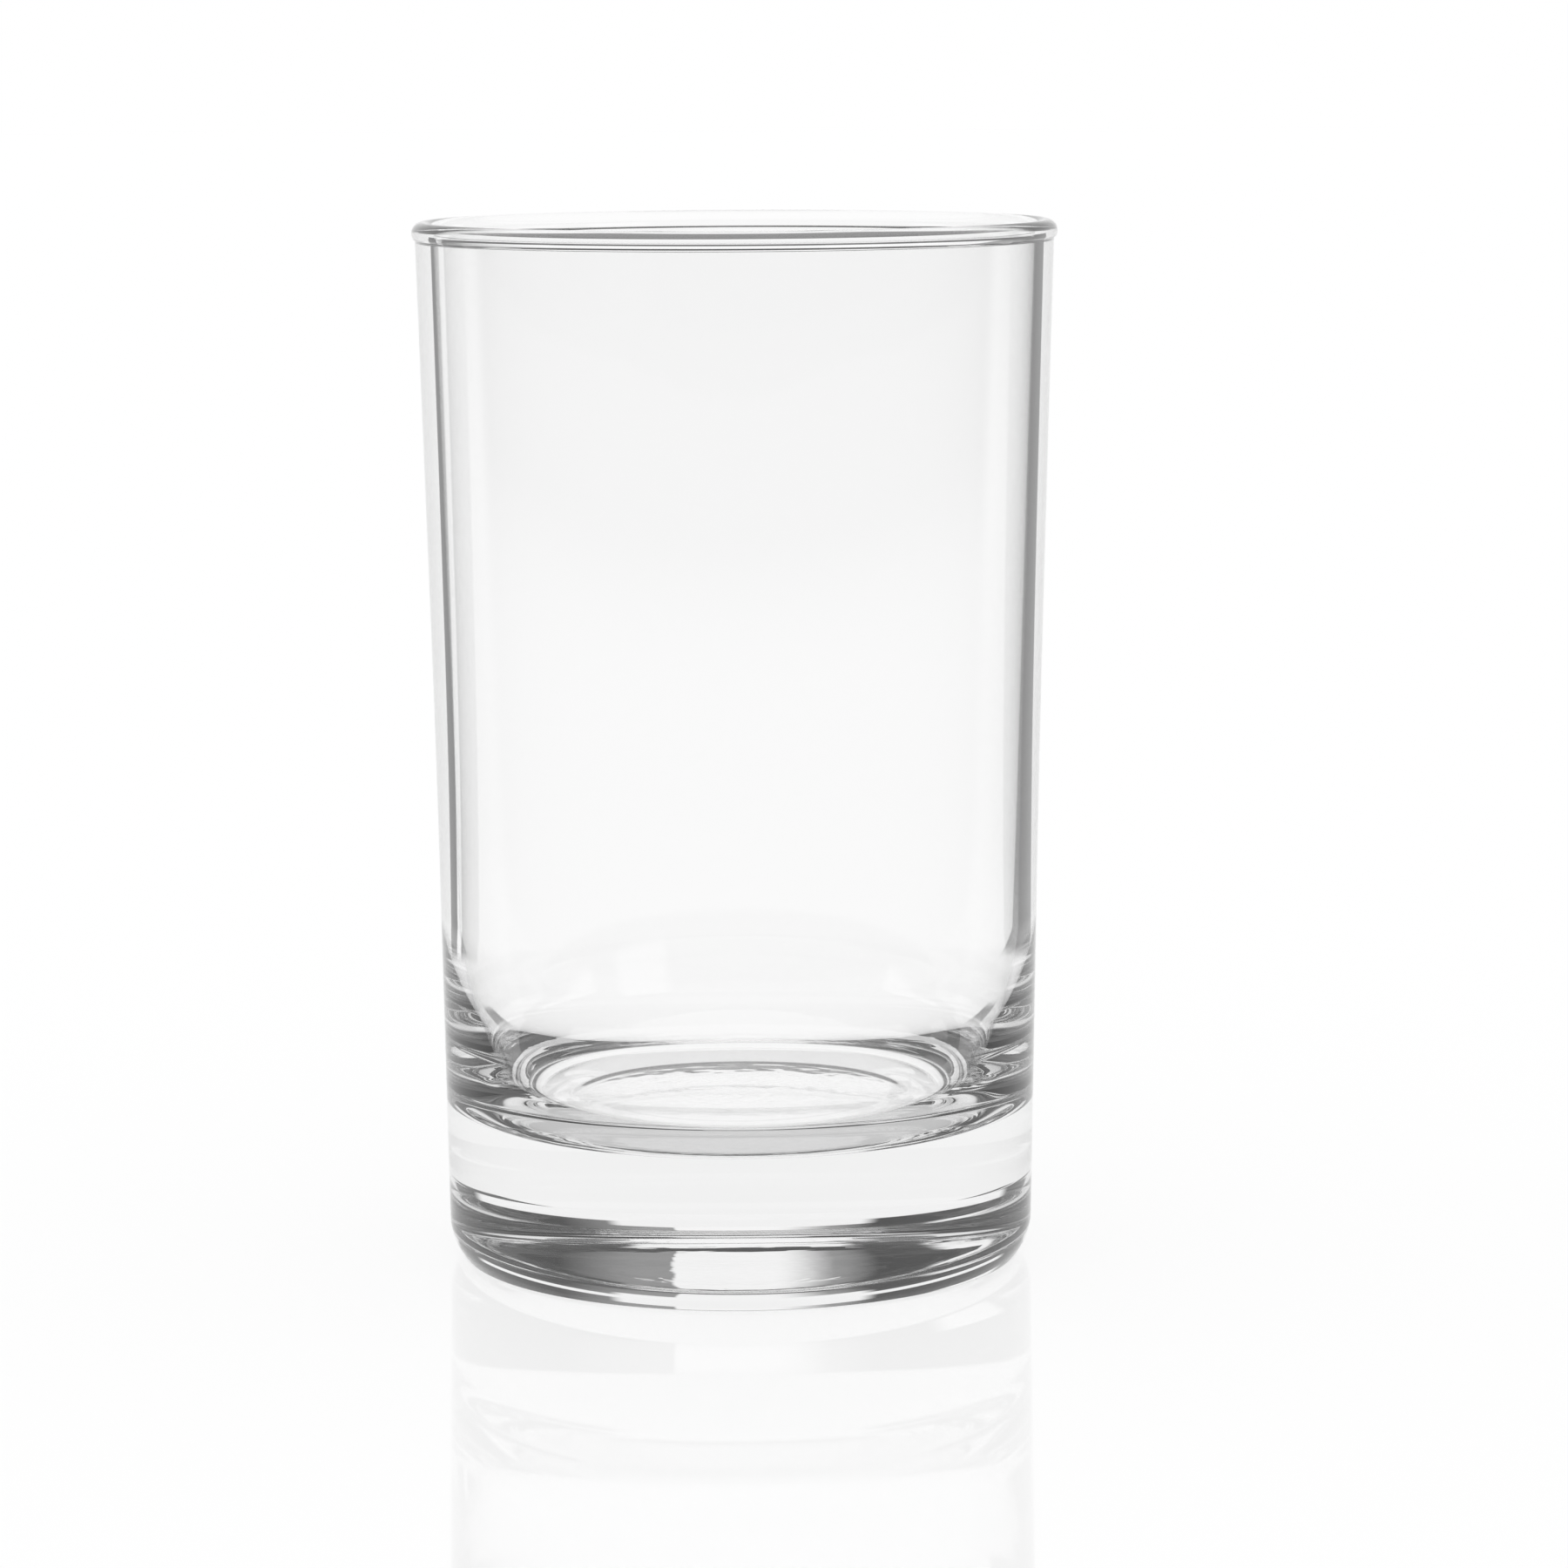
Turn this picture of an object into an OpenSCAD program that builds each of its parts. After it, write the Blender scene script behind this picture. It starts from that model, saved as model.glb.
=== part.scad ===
// Juice glass: a small heavy-based tumbler of clear pressed and blown glass.
// Frame: +Z is up, the origin is the centre of the ring that the glass stands on.
// The real glass is one piece. It is drawn as the four regions in which it is formed,
// and these meet face to face: the foot ring, the heavy base, the wall and the rim bead.

/* [Overall] */
// Height from the table to the top of the rim
glass_h = 93; // [75:0.5:140]

/* [Rim bead] */
// Outer diameter of the glass over the rim bead
rim_d = 57.2; // [50:0.2:66]
// Diameter of the round bead that runs along the rim
bead_d = 2; // [1.8:0.1:2.6]
// How far the bead stands out beyond the wall
bead_proud = 0.3; // [0.1:0.05:0.6]

/* [Wall] */
// Outer diameter of the wall at the waist, where the steeper upper taper starts
waist_d = 54.1; // [50:0.1:60]
// Outer diameter of the lower wall line, carried down to the table
foot_d = 52.6; // [46:0.1:60]
// Thickness of the wall
wall_t = 1.6; // [1.3:0.05:1.75]
// Height of the even wall between the waist and the sweep below it
straight_h = 14.5; // [8:0.5:24]

/* [Heavy base] */
// Thickness of glass under the cavity's floor, from the table
base_t = 12.4; // [8:0.1:18]
// Height above the floor at which the wall starts to thicken, in one long sweep
sweep_rise = 19.1; // [14:0.1:24]
// Radius of that sweep, on the cavity's side
sweep_r = 52; // [40:1:70]
// Radius of the cavity's corner, between the sweep and the floor
corner_r = 8; // [5:0.5:10]

/* [Foot] */
// Height above the table at which the wall starts to round inwards to the foot
heel_h = 3.6; // [2.5:0.1:4.5]
// Radius of the heel, the long round between the wall and the toe
heel_r = 5.3; // [4.2:0.1:7]
// Radius of the toe, the small round between the heel and the table
toe_r = 0.6; // [0.3:0.1:1.2]
// Width of the flat ring that touches the table, inside the toe
ring_w = 6.2; // [3:0.1:9]
// Depth of the shallow hollow inside that ring, at its centre
hollow_depth = 0.5; // [0.4:0.1:2]
// Depth of the hollow at its edge, where it meets the ring
hollow_edge = 0.1; // [0.1:0.05:0.3]

/* [Hidden] */

$fn = 96;
overrun = 1;

bead_r = bead_d / 2;
bead_centre_r = rim_d / 2 - bead_r;
bead_centre_z = glass_h - bead_r;
neck_r = rim_d / 2 - bead_proud;
neck_cavity_r = neck_r - wall_t;
// The wall ends at the lower of the two heights where the bead's round meets its sides.
bead_grip = min(bead_centre_r - neck_cavity_r, neck_r - bead_centre_r);
wall_top_z = bead_centre_z - sqrt(pow(bead_r, 2) - pow(bead_grip, 2));

sweep_h = base_t + sweep_rise;
waist_h = sweep_h + straight_h;

// How far the lower wall line leans outwards for each unit of height, and its slant length.
lower_lean = (waist_d - foot_d) / 2 / waist_h;
lower_slant = sqrt(1 + pow(lower_lean, 2));

// Outer radius of the lower wall line at a height.
function lower_r(z) = foot_d / 2 + lower_lean * z;

// The heel is an arc that touches the lower wall line.
heel_centre_r = lower_r(heel_h) - heel_r * lower_slant;
heel_top_r = heel_centre_r + heel_r / lower_slant;
heel_top_z = heel_h - heel_r * lower_lean / lower_slant;

// The toe is an arc that touches both the heel and the table.
toe_reach = heel_r - toe_r;
toe_drop = heel_h - toe_r;
toe_centre_r = heel_centre_r + sqrt(pow(toe_reach, 2) - pow(toe_drop, 2));
toe_share = toe_r / toe_reach;
toe_top_r = toe_centre_r + (toe_centre_r - heel_centre_r) * toe_share;
toe_top_z = toe_r - toe_drop * toe_share;

// The sweep is an arc that touches the lower cavity wall.
sweep_centre_r = lower_r(sweep_h) - wall_t - sweep_r * lower_slant;
sweep_top_r = sweep_centre_r + sweep_r / lower_slant;
sweep_top_z = sweep_h - sweep_r * lower_lean / lower_slant;

// The corner is an arc that touches both the sweep and the floor.
corner_centre_z = base_t + corner_r;
corner_reach = sweep_r - corner_r;
corner_centre_r = sweep_centre_r + sqrt(pow(corner_reach, 2) - pow(sweep_h - corner_centre_z, 2));
corner_share = corner_r / corner_reach;
corner_top_z = corner_centre_z - (sweep_h - corner_centre_z) * corner_share;

// The base ends, and the wall starts, a little way up the sweep.
base_top_z = corner_centre_z;

hollow_r = toe_centre_r - ring_w;
// The hollow's roof is part of a ball, which rises by this much from its edge to its centre.
roof_rise = hollow_depth - hollow_edge;
roof_ball_r = (pow(hollow_r, 2) + pow(roof_rise, 2)) / (2 * roof_rise);

// Half section of the solid glass, without its cavity, from the table to a height.
module outer_half(top_z) {
    intersection() {
        union() {
            polygon([
                [0, 0],
                [toe_centre_r, 0],
                [toe_top_r, toe_top_z],
                [heel_top_r, heel_top_z],
                [waist_d / 2, waist_h],
                [neck_r, wall_top_z],
                [0, wall_top_z]
            ]);
            intersection() {
                translate([heel_centre_r, heel_h]) circle(r = heel_r, $fn = 180);
                translate([heel_centre_r, toe_top_z]) square([heel_r, heel_top_z - toe_top_z]);
            }
            translate([toe_centre_r, toe_r]) circle(r = toe_r);
        }
        square([rim_d, top_z]);
    }
}

// Half section of the space inside, from the floor past the top of the wall.
module cavity_half() {
    polygon([
        [0, sweep_top_z],
        [sweep_top_r, sweep_top_z],
        [waist_d / 2 - wall_t, waist_h],
        [neck_cavity_r, wall_top_z],
        [neck_cavity_r, wall_top_z + overrun],
        [0, wall_top_z + overrun]
    ]);
    intersection() {
        translate([sweep_centre_r, sweep_h]) circle(r = sweep_r, $fn = 360);
        translate([0, corner_top_z]) square([rim_d, sweep_top_z - corner_top_z]);
    }
    intersection() {
        translate([corner_centre_r, corner_centre_z]) circle(r = corner_r);
        translate([corner_centre_r, base_t]) square([corner_r, corner_top_z - base_t]);
    }
    translate([0, base_t]) square([corner_centre_r, corner_top_z - base_t]);
}

// Half section of the foot ring: the flat it stands on, and the toe and heel round it.
module foot_half() {
    intersection() {
        outer_half(heel_top_z);
        translate([hollow_r, 0]) square([rim_d, heel_top_z]);
    }
}

// The round bead, melted smooth, and the stub of wall that carries it.
module rim_bead() {
    color("lightcyan", 0.35) rotate_extrude() intersection() {
        union() {
            translate([bead_centre_r, bead_centre_z]) circle(r = bead_r);
            translate([neck_cavity_r, wall_top_z]) square([wall_t, bead_centre_z - wall_top_z]);
        }
        translate([0, wall_top_z]) square([rim_d, bead_d]);
    }
}

// The side wall, from the top of the base to the bead, thicker at its foot.
module wall() {
    color("lightcyan", 0.35) rotate_extrude() difference() {
        outer_half(wall_top_z);
        square([rim_d, base_top_z]);
        cavity_half();
    }
}

// The thick bottom, with the cavity's floor in its top and the hollow under it.
module base() {
    color("lightcyan", 0.35) rotate_extrude() difference() {
        outer_half(base_top_z);
        cavity_half();
        foot_half();
        intersection() {
            translate([0, hollow_depth - roof_ball_r]) circle(r = roof_ball_r, $fn = 720);
            square([hollow_r, hollow_depth]);
        }
    }
}

// The ring that touches the table, with the rounded heel as its outer edge.
module foot_ring() {
    color("lightcyan", 0.35) rotate_extrude() foot_half();
}

rim_bead();
wall();
base();
foot_ring();
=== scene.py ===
import math

import bmesh
import bpy
from mathutils import Matrix, Vector, noise


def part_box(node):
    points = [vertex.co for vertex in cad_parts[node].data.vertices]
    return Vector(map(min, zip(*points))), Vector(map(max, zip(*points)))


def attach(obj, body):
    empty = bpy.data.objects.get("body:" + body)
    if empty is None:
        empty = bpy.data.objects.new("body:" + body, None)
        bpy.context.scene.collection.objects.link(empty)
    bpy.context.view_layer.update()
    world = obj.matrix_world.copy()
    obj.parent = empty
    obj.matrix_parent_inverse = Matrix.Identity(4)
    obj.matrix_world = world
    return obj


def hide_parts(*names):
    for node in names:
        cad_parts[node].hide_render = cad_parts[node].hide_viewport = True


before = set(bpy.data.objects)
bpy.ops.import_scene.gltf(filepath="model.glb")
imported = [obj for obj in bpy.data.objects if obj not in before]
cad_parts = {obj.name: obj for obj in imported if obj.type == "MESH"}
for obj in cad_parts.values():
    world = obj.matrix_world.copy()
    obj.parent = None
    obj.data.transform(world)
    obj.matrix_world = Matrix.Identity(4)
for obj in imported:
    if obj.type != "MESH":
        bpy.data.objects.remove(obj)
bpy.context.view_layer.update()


# The juice glass: a small heavy-based tumbler, one piece of clear soda-lime glass.
# The glass is pressed and blown in a mould, and its cut rim is melted to a round bead.
MM = 0.001
rim_r, glass_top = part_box("rim_bead")[1].x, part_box("rim_bead")[1].z
neck_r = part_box("wall")[1].x
bead_r = 1.0 * MM
wall_t = 1.6 * MM
waist_z, waist_r = 46 * MM, 27.05 * MM
foot_r = 26.3 * MM
blend_h = 5 * MM
base_t = 12.4 * MM
sweep_z, sweep_r = 31.5 * MM, 52 * MM
corner_r = 8 * MM
heel_z, heel_r = 3.6 * MM, 5.3 * MM
toe_r = 0.6 * MM
ring_w = 6.2 * MM
hollow_edge, hollow_depth, hollow_round = 0.1 * MM, 0.5 * MM, 1.6 * MM
# Heights below the rim of a few short steps, which keep the wall's shading smooth under the bead.
OUTER_NECK = (2.2 * MM, 1.6 * MM)
INNER_NECK = (1.5 * MM, 2.1 * MM)
BEAD_ARC = (-30, 195)
TURN_STEPS = 224
MERGE_DISTANCE = 0.004 * MM

lean = (waist_r - foot_r) / waist_z
top_lean = (neck_r - waist_r) / (glass_top - bead_r - waist_z)


def wall_r(z):
    """Outer radius of the wall: two straight tapers that run into each other at the waist."""
    above = blend_h * math.log1p(math.exp((z - waist_z) / blend_h))
    return foot_r + lean * z + (top_lean - lean) * above


def steps(start, stop, count):
    """Evenly spaced numbers from start to stop."""
    return [start + (stop - start) * i / count for i in range(count + 1)]


def arc(centre, radius, start, stop, count):
    """Points along an arc of the section, with angles in degrees from the outward direction."""
    angles = [math.radians(a) for a in steps(start, stop, count)]
    return [(centre[0] + radius * math.cos(a), centre[1] + radius * math.sin(a)) for a in angles]


heel_centre_r = wall_r(heel_z) - heel_r
toe_centre_r = heel_centre_r + math.sqrt((heel_r - toe_r) ** 2 - (heel_z - toe_r) ** 2)
toe_end = math.degrees(math.asin((heel_z - toe_r) / (heel_r - toe_r)))
hollow_r = toe_centre_r - ring_w - hollow_round
sweep_centre_r = wall_r(sweep_z) - wall_t - sweep_r
corner_reach = sweep_r - corner_r
corner_z = base_t + corner_r
corner_centre_r = sweep_centre_r + math.sqrt(corner_reach ** 2 - (sweep_z - corner_z) ** 2)
sweep_end = math.degrees(math.asin((sweep_z - corner_z) / corner_reach))
bead_centre = (rim_r - bead_r, glass_top - bead_r)

# The section starts at the centre of the hollow underneath, runs out to the foot, up the wall, over
# the bead, down inside and back to the axis along the floor.
section = [(hollow_r * s, hollow_depth - (hollow_depth - hollow_edge) * s * s) for s in steps(0, 1, 100)]
section += [(hollow_r + hollow_round * s, hollow_edge * (1 - s * s * (3 - 2 * s)))
            for s in steps(0, 1, 8)[1:]]
section += [(r, 0.0) for r in steps(hollow_r + hollow_round, toe_centre_r, 10)[1:]]
section += arc((toe_centre_r, toe_r), toe_r, -90, -toe_end, 8)[1:]
section += arc((heel_centre_r, heel_z), heel_r, -toe_end, 0, 16)[1:]
outer_low, outer_high = [glass_top - drop for drop in OUTER_NECK]
inner_high, inner_low = [glass_top - drop for drop in INNER_NECK]
section += [(wall_r(z), z) for z in steps(heel_z, outer_low, 44)[1:]]
section += [(wall_r(z), z) for z in steps(outer_low, outer_high, 3)[1:]]
section += arc(bead_centre, bead_r, *BEAD_ARC, 26)
section += [(wall_r(z) - wall_t, z) for z in steps(inner_high, inner_low, 2)]
section += [(wall_r(z) - wall_t, z) for z in steps(inner_low, sweep_z, 64)[1:]]
section += arc((sweep_centre_r, sweep_z), sweep_r, 0, -sweep_end, 30)[1:]
section += arc((corner_centre_r, corner_z), corner_r, -sweep_end, -90, 24)[1:]
section += [(r, base_t) for r in steps(corner_centre_r, 0, 20)[1:]]

bm = bmesh.new()
line = [bm.verts.new((r, 0.0, z)) for r, z in section]
edges = [bm.edges.new(pair) for pair in zip(line, line[1:])]
bmesh.ops.spin(bm, geom=line + edges, cent=(0, 0, 0), axis=(0, 0, 1), angle=math.tau,
               steps=TURN_STEPS, use_merge=True)
bmesh.ops.remove_doubles(bm, verts=bm.verts, dist=MERGE_DISTANCE)

# The mould's plate leaves fine ripples under the base, with a finer and weaker set over them.
# They are stronger in a belt along the hollow's edge.
RIPPLE, RIPPLE_SIZE = 0.010 * MM, 1.3 * MM
FINER, FINER_SHARE = 2.3, 0.5
RIPPLE_BELT, BELT_GAIN = 3 * MM, 1.5
# Blown glass is a little uneven inside, in upright waves that fade below the bead and towards the
# middle of the floor.
WAVE, WAVE_SIZE, WAVE_FADE = 0.012 * MM, 16 * MM, 10 * MM
UPRIGHT = 0.35
wave_top = glass_top - 2 * MM
for vert in bm.verts:
    r, z = math.hypot(vert.co.x, vert.co.y), vert.co.z
    under_base = z < 2 * MM and r < hollow_r - 0.1 * MM
    inside = base_t - 1 * MM < z < wave_top and r < wall_r(z) - 0.5 * wall_t
    if under_base:
        spot = vert.co / RIPPLE_SIZE
        fine = noise.noise(spot) + FINER_SHARE * noise.noise(spot * FINER)
        near_edge = max(0.0, 1 - (hollow_r - r) / RIPPLE_BELT)
        vert.co.z += RIPPLE * fine * (1 + BELT_GAIN * near_edge)
    elif inside:
        fade = min(1.0, (wave_top - z) / WAVE_FADE) * min(1.0, r / corner_centre_r)
        wave = noise.noise(Vector((vert.co.x, vert.co.y, z * UPRIGHT)) / WAVE_SIZE)
        out_way = Vector((vert.co.x, vert.co.y, 0)).normalized()
        vert.co += out_way * WAVE * wave * fade
bmesh.ops.recalc_face_normals(bm, faces=bm.faces)


def new_object(name, bm, material):
    """An object at the origin that is made of a mesh in hand, with one material."""
    mesh = bpy.data.meshes.new(name)
    bm.to_mesh(mesh)
    bm.free()
    mesh.materials.append(material)
    made = bpy.data.objects.new(name, mesh)
    bpy.context.scene.collection.objects.link(made)
    return made


clear = bpy.data.materials.new("clear_glass")
clear.use_nodes = True
shader = clear.node_tree.nodes["Principled BSDF"]
shader.inputs["Base Color"].default_value = (1, 1, 1, 1)
shader.inputs["Roughness"].default_value = 0.0
shader.inputs["IOR"].default_value = 1.52
shader.inputs["Transmission Weight"].default_value = 1.0
tint = clear.node_tree.nodes.new("ShaderNodeVolumeAbsorption")
tint.inputs["Color"].default_value = (0.1, 0.1, 0.1, 1)
tint.inputs["Density"].default_value = 2.0
clear.node_tree.links.new(tint.outputs[0], clear.node_tree.nodes["Material Output"].inputs["Volume"])
glass = new_object("juice_glass", bm, clear)
glass.data.shade_smooth()
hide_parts("rim_bead", "wall", "base", "foot_ring")
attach(glass, "root")


# The studio, which shows only through the glass: seen directly, it is plain white all round.
# Below the horizon it is white but for dark gaps, and above is a dim room with windows.
# Azimuths are in degrees from +Y towards +X, and each gap goes from one to another. Reflections
# don't show the rear gaps, and the close ones are short strips of painted shade on the table.
GAPS = {"Front": ((28, 58), (-42, -35), (-62, -48)), "Rear": ((-132, -118), (93, 107), (163, 177)),
        "Close": ((39, 43), (-43, -39))}
GAP_EDGE = 1.2
# Reflections in the glass show a darker room beyond these azimuths, with a soft change.
MIRRORED_FRONT = (-50, 50, 10, 10)
surround = bpy.data.node_groups.new("surround", "ShaderNodeTree")
surround.interface.new_socket("Direction", in_out="INPUT", socket_type="NodeSocketVector")
for name in [*GAPS, "Around"]:
    surround.interface.new_socket(name, in_out="OUTPUT", socket_type="NodeSocketFloat")
nodes, links = surround.nodes, surround.links


def math_node(operation, *values):
    """A maths node of the tree in hand, fed with numbers or with other nodes' outputs."""
    node = nodes.new("ShaderNodeMath")
    node.operation = operation
    for socket, value in zip(node.inputs, values):
        if isinstance(value, (int, float)):
            socket.default_value = value
        else:
            links.new(value, socket)
    return node.outputs[0]


def product(*values):
    """Several values multiplied."""
    result = values[0]
    for value in values[1:]:
        result = math_node("MULTIPLY", result, value)
    return result


def ramp(value, low, high, at_low, at_high):
    """A smooth change from one level to another as a value goes from low to high."""
    node = nodes.new("ShaderNodeMapRange")
    node.interpolation_type = "SMOOTHSTEP"
    links.new(value, node.inputs["Value"])
    for name, number in (("From Min", low), ("From Max", high), ("To Min", at_low), ("To Max", at_high)):
        node.inputs[name].default_value = number
    return node.outputs["Result"]


def between(value, low, high, low_soft, high_soft):
    """One where a value lies between two others, and less over a soft stretch outside them."""
    rise = ramp(value, low - low_soft, low, 0.0, 1.0)
    return product(rise, ramp(value, high, high + high_soft, 1.0, 0.0))


split = nodes.new("ShaderNodeSeparateXYZ")
links.new(nodes.new("NodeGroupInput").outputs["Direction"], split.inputs[0])
around = math_node("DEGREES", math_node("ARCTAN2", split.outputs["X"], split.outputs["Y"]))
group_out = nodes.new("NodeGroupOutput")
links.new(around, group_out.inputs["Around"])
for name, ranges in GAPS.items():
    dark = 0.0
    for first, last in ranges:
        dark = math_node("MAXIMUM", dark, between(around, first, last, GAP_EDGE, GAP_EDGE))
    links.new(dark, group_out.inputs[name])


def studio_in(direction):
    """The studio's group in the tree in hand, for a direction or for a place on the table."""
    group = nodes.new("ShaderNodeGroup")
    group.node_tree = surround
    links.new(direction, group.inputs["Direction"])
    return group.outputs


def ray_kinds():
    """What a ray has met on its way, each as one for yes and zero for no.

    A clean ray has come through a few surfaces of glass, a late one has met several things, a
    straight one has not been mirrored, and an often mirrored one has been so more than once.
    """
    path = nodes.new("ShaderNodeLightPath").outputs
    through = path["Is Transmission Ray"]
    return {
        "through": through,
        "clean": product(math_node("LESS_THAN", path["Ray Depth"], 4.5), through),
        "late": math_node("GREATER_THAN", path["Ray Depth"], 3.5),
        "straight": math_node("LESS_THAN", path["Glossy Depth"], 0.5),
        "mirrored": product(math_node("GREATER_THAN", path["Ray Depth"], 1.5),
                            math_node("GREATER_THAN", path["Glossy Depth"], 0.5)),
        "often": math_node("GREATER_THAN", path["Glossy Depth"], 1.5)}


def mirrored_room(rays, around):
    """How far a ray is one that was mirrored and looks past the front of the studio."""
    side = math_node("SUBTRACT", rays["mirrored"], between(around, *MIRRORED_FRONT))
    return math_node("MAXIMUM", side, 0.0)


# The backdrop and the room, which are the world. Each window has two azimuths, the widths of
# their soft sides, a lowest and a highest elevation, in degrees, and a brightness.
WINDOWS = ((-16, 16, 4, 4, 0, 10.2, 1.0), (-4, 8.5, 13, 1, 0, 20.5, 1.0), (-12, 12, 10, 22, 0, 20.5, 0.3),
           (-50, 50, 6, 6, 0, 6, 1.0), (-16, 16, 5, 5, 26.5, 75, 1.0),
           (-60, 60, 10, 10, 42, 75, 1.0), (-180, 180, 1, 1, 62, 90, 1.0),
           (-107, -73, 5, 5, 0, 9, 1.0), (73, 107, 5, 5, 0, 9, 1.0),
           (127, 143, 8, 8, 0, 19, 1.0), (-53, -37, 8, 8, 18, 30, 1.0))
SILL, LINTEL = 0.01, 0.8
# The room's dim light between two elevations, then the shares of the light that rays mirrored
# once, and those mirrored more often, lose between theirs.
ROOM_LIGHT = (12, 60, 0.06, 0.14)
LOST_ONCE = (3, 6, 0.95, 0.0)
LOST_OFTEN = (12, 18, 0.9, 0.0)
world = bpy.data.worlds.new("studio")
bpy.context.scene.world = world
world.use_nodes = True
nodes, links = world.node_tree.nodes, world.node_tree.links
nodes.clear()
rays = ray_kinds()
where = nodes.new("ShaderNodeTexCoord").outputs["Generated"]
split = nodes.new("ShaderNodeSeparateXYZ")
links.new(where, split.inputs[0])
height = math_node("DEGREES", math_node("ARCSINE", split.outputs["Z"]))
studio = studio_in(where)
around = studio["Around"]
gap = math_node("MAXIMUM", studio["Front"], product(rays["straight"], studio["Rear"]))
gap = product(rays["clean"], gap)
level = product(math_node("LESS_THAN", height, 0.0), math_node("SUBTRACT", 1.0, gap))
for first, last, first_soft, last_soft, low, high, strength in WINDOWS:
    wide = between(around, first, last, first_soft, last_soft)
    tall = between(height, low, high, SILL, LINTEL)
    level = math_node("MAXIMUM", level, product(wide, tall, strength))
level = math_node("MAXIMUM", level, ramp(height, *ROOM_LIGHT))
lost = product(mirrored_room(rays, around), ramp(height, *LOST_ONCE))
lost = math_node("MAXIMUM", lost, product(rays["often"], ramp(height, *LOST_OFTEN)))
level = product(level, math_node("SUBTRACT", 1.0, lost))
seen = nodes.new("ShaderNodeMix")
links.new(rays["through"], seen.inputs["Factor"])
seen.inputs["A"].default_value = 1.0
links.new(level, seen.inputs["B"])
background = nodes.new("ShaderNodeBackground")
background.inputs["Color"].default_value = (1, 1, 1, 1)
links.new(seen.outputs["Result"], background.inputs["Strength"])
links.new(background.outputs[0], nodes.new("ShaderNodeOutputWorld").inputs["Surface"])


# The table top: a plain sheet of glossy white acrylic, which mirrors the foot of the glass
# faintly and takes its soft shadow. Seen through the glass, its white has painted shade in the
# studio's gaps, in short close strips and in a patch behind the glass, and for mirrored rays a
# painted falloff with distance.
TABLE_HALF, TABLE_DROP = 6.0, 0.01 * MM
# Distances from the axis of the glass, in metres, over which each dark part begins or ends.
GAPS_BEGIN = (0.07, 0.09, 0.0, 1.0)
CLOSE_BEGIN = (0.032, 0.05, 0.0, 1.0)
CLOSE_END = (0.05, 0.056, 1.0, 0.0)
PAINTED_PATCH_END = (0.32, 0.35, 1.0, 0.0)
# The steepness of a view is one straight down and zero along the table. The gaps show in flat
# views and the close strips in steep ones. A patch of painted shade behind the glass darkens the
# table where the distance times the steepness is large.
GAPS_STEEP = (0.24, 0.3, 1.0, 0.0)
CLOSE_STEEP = (0.24, 0.34, 0.0, 1.0)
PAINTED_PATCH_BEGIN = (0.046, 0.06, 0.0, 0.9)
PAINTED_PATCH_WIDTH = (-22, 22, 6, 6)
# The shares of the light that mirrored rays lose, painted into the table's white, by the distance at
# which they meet the table.
FALL_ONCE = (0.5, 1.6, 0.35, 0.95)
FALL_OFTEN = (0.02, 0.25, 0.1, 0.95)
SHADOW_SHARE, MIRROR_SHARE, MIRROR_BLUR = 0.15, 0.12, 0.03
bm = bmesh.new()
bmesh.ops.create_grid(bm, x_segments=1, y_segments=1, size=TABLE_HALF)
bmesh.ops.translate(bm, verts=bm.verts, vec=(0, 0, -TABLE_DROP))
acrylic = bpy.data.materials.new("white_acrylic")
acrylic.use_nodes = True
nodes, links = acrylic.node_tree.nodes, acrylic.node_tree.links
nodes.clear()
rays = ray_kinds()
place = nodes.new("ShaderNodeTexCoord").outputs["Object"]
away = nodes.new("ShaderNodeVectorMath")
away.operation = "LENGTH"
links.new(place, away.inputs[0])
distance = away.outputs["Value"]
steep = math_node("SUBTRACT", 1.0, nodes.new("ShaderNodeLayerWeight").outputs["Facing"])
studio = studio_in(place)
around = studio["Around"]
# Painted shade: where rays came through the glass, the table's white is darkened in the studio's gaps and
# close strips.
gap = math_node("MAXIMUM", studio["Front"], product(rays["straight"], studio["Rear"]))
gap = product(ramp(distance, *GAPS_BEGIN), ramp(steep, *GAPS_STEEP), gap)
close = product(ramp(distance, *CLOSE_BEGIN), ramp(steep, *CLOSE_STEEP),
                ramp(distance, *CLOSE_END), studio["Close"])
# Painted shade: a darker patch on the table behind the glass, for late rays that meet it steeply.
painted_patch_shade = product(ramp(product(steep, distance), *PAINTED_PATCH_BEGIN), ramp(distance, *PAINTED_PATCH_END),
               between(around, *PAINTED_PATCH_WIDTH), rays["late"])
dark = product(rays["clean"], math_node("MAXIMUM", gap, math_node("MAXIMUM", close, painted_patch_shade)))
# Painted falloff of light: for mirrored rays, the table's white darkens with distance.
fall = product(mirrored_room(rays, around), ramp(distance, *FALL_ONCE))
fall = math_node("MAXIMUM", fall, product(rays["often"], ramp(distance, *FALL_OFTEN)))
level = math_node("SUBTRACT", math_node("SUBTRACT", 1.0, dark), fall)
level = math_node("MAXIMUM", level, 0.0)
glow = nodes.new("ShaderNodeEmission")
links.new(level, glow.inputs["Strength"])
sheet = nodes.new("ShaderNodeBsdfDiffuse")
links.new(level, sheet.inputs["Color"])
gloss = nodes.new("ShaderNodeBsdfGlossy")
gloss.inputs["Roughness"].default_value = MIRROR_BLUR
gloss.inputs["Color"].default_value = (1, 1, 1, 1)


def mixed(share, first, second):
    """A shader that is partly one shader and, by a share, partly another."""
    mix = nodes.new("ShaderNodeMixShader")
    if isinstance(share, float):
        mix.inputs["Fac"].default_value = share
    else:
        links.new(share, mix.inputs["Fac"])
    links.new(first.outputs[0], mix.inputs[1])
    links.new(second.outputs[0], mix.inputs[2])
    return mix


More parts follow.
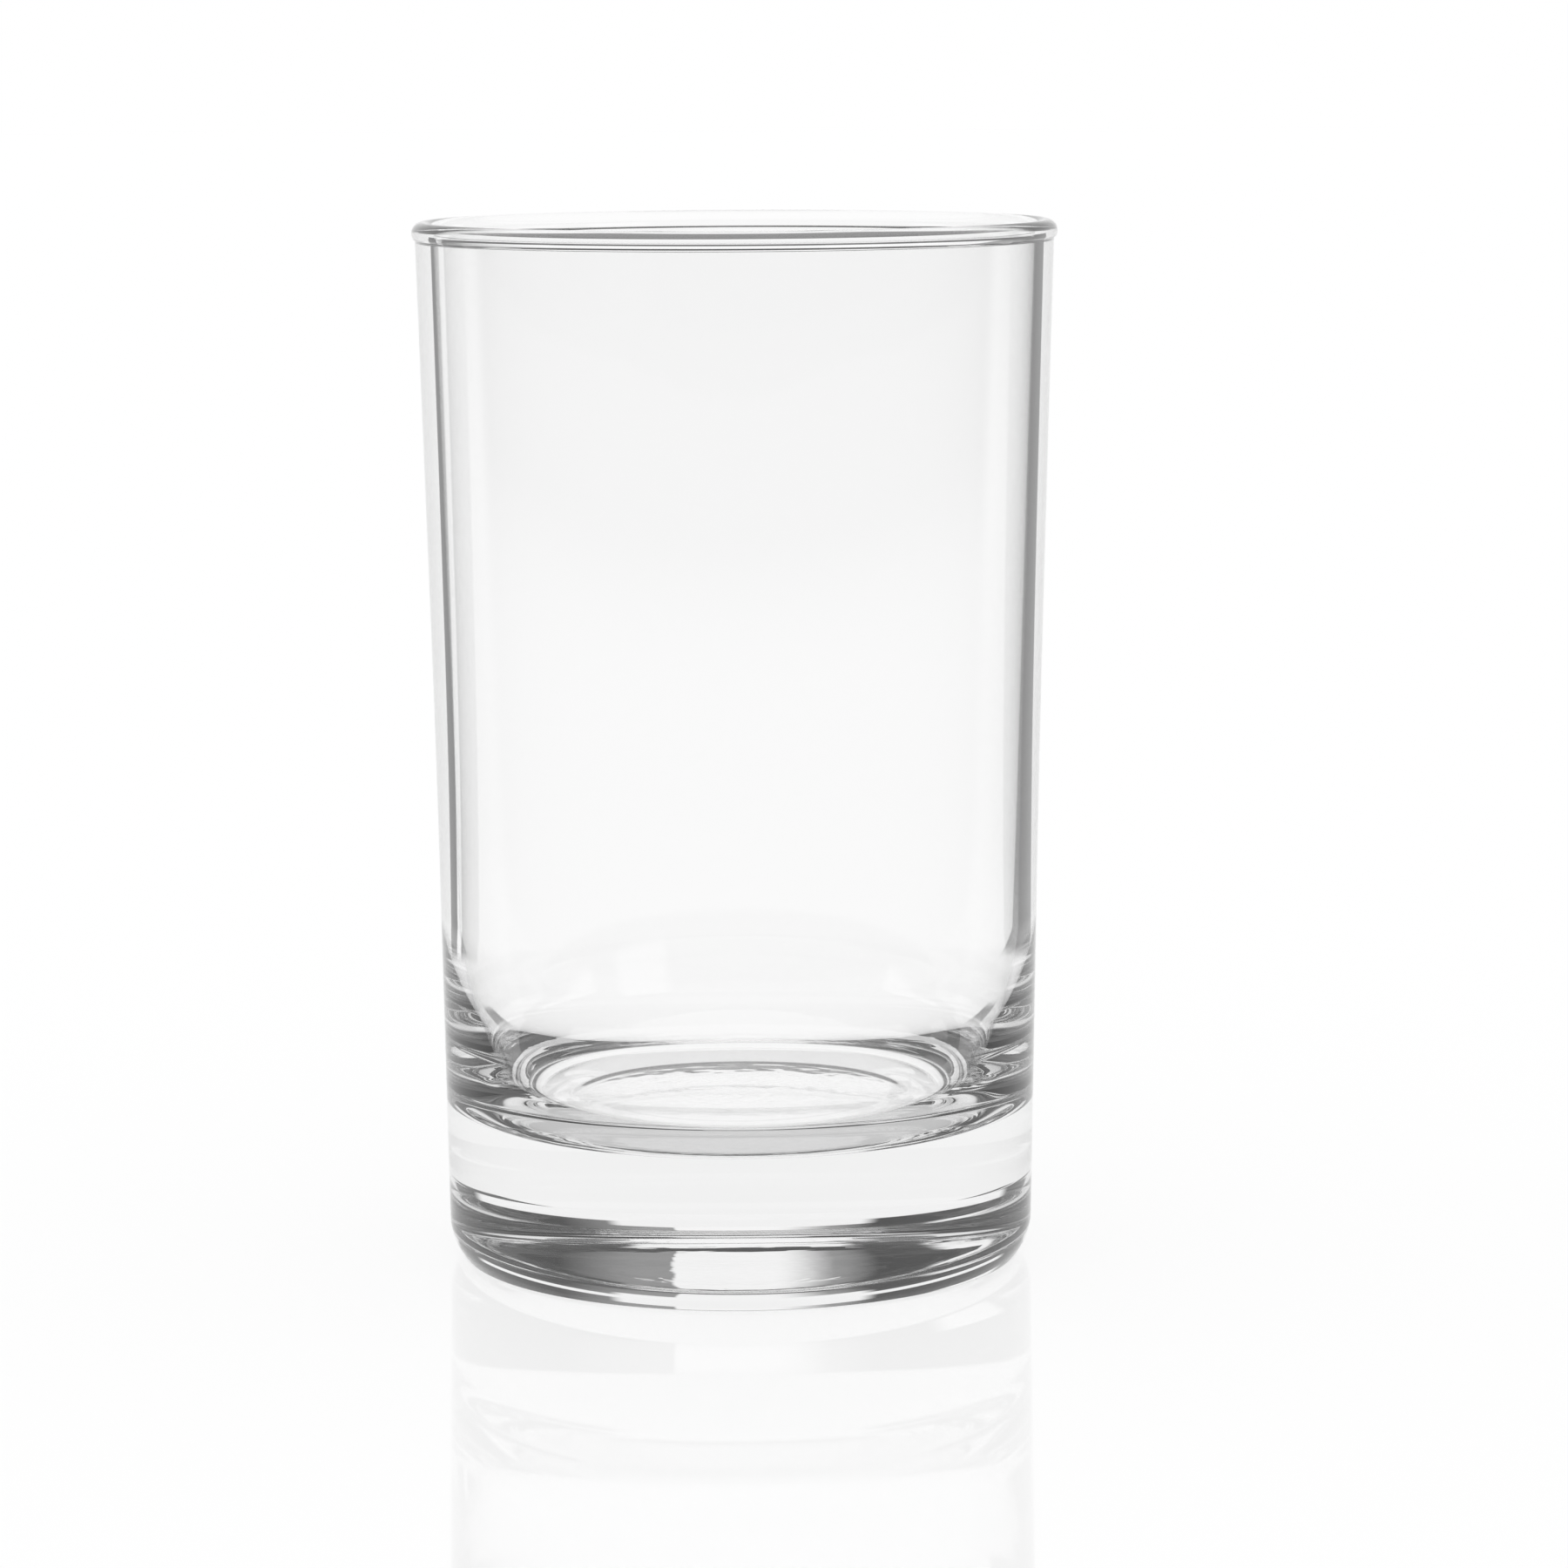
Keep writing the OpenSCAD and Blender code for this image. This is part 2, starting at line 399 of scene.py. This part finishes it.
lit = mixed(product(math_node("SUBTRACT", 1.0, rays["through"]), SHADOW_SHARE), glow, sheet)
top = mixed(MIRROR_SHARE, lit, gloss)
links.new(top.outputs[0], nodes.new("ShaderNodeOutputMaterial").inputs["Surface"])
table = new_object("table_top", bm, acrylic)


# A strip of painted shade: a dark grey sheet like black card, held close behind the rim. It
# shows only through the glass, as the second of the two dark lines along the bead.
CARD_HALF, CARD_BACK = 40 * MM, 36 * MM
CARD_LOW, CARD_HIGH = 95.6 * MM, 101.5 * MM
SHADE_CARD_GREY = 0.15
bm = bmesh.new()
corners = [(-CARD_HALF, CARD_LOW), (CARD_HALF, CARD_LOW), (CARD_HALF, CARD_HIGH), (-CARD_HALF, CARD_HIGH)]
bm.faces.new([bm.verts.new((x, CARD_BACK, z)) for x, z in corners])
shade_card_material = bpy.data.materials.new("painted_shade_card")
shade_card_material.use_nodes = True
nodes, links = shade_card_material.node_tree.nodes, shade_card_material.node_tree.links
nodes.clear()
rays = ray_kinds()
# Painted shade: the sheet glows dark grey for clean, straight rays through the glass, and is clear to all
# others.
painted_line_shade = nodes.new("ShaderNodeEmission")
painted_line_shade.inputs["Color"].default_value = (SHADE_CARD_GREY, SHADE_CARD_GREY, SHADE_CARD_GREY, 1)
unseen = nodes.new("ShaderNodeBsdfTransparent")
seen = mixed(product(rays["clean"], rays["straight"]), unseen, painted_line_shade)
links.new(seen.outputs[0], nodes.new("ShaderNodeOutputMaterial").inputs["Surface"])
card = new_object("shade_card", bm, shade_card_material)


# The camera: a long lens a little above the rim, as in the photograph. It looks down, and is
# turned a little to the right and rolled.
eye = Vector((0, -470 * MM, 108.8 * MM))
pitch, yaw, roll = math.radians(8.03), math.radians(0.503), math.radians(0.3)
SENSOR, FOCAL_LENGTH = 36, 121.2
camera_data = bpy.data.cameras.new("camera")
camera_data.sensor_width = SENSOR
camera_data.lens = FOCAL_LENGTH
camera = bpy.data.objects.new("camera", camera_data)
bpy.context.scene.collection.objects.link(camera)
aim = Vector((math.sin(yaw) * math.cos(pitch), math.cos(yaw) * math.cos(pitch), -math.sin(pitch)))
turn = aim.to_track_quat("-Z", "Y").to_matrix().to_4x4() @ Matrix.Rotation(-roll, 4, "Z")
camera.matrix_world = Matrix.Translation(eye) @ turn
bpy.context.scene.camera = camera

# Light in the thick base crosses many surfaces, so the renderer follows it further than usual.
BOUNCES = 24
bpy.context.scene.view_settings.view_transform = "Standard"
bpy.context.scene.cycles.max_bounces = BOUNCES
bpy.context.scene.cycles.transmission_bounces = BOUNCES
bpy.context.scene.cycles.glossy_bounces = BOUNCES
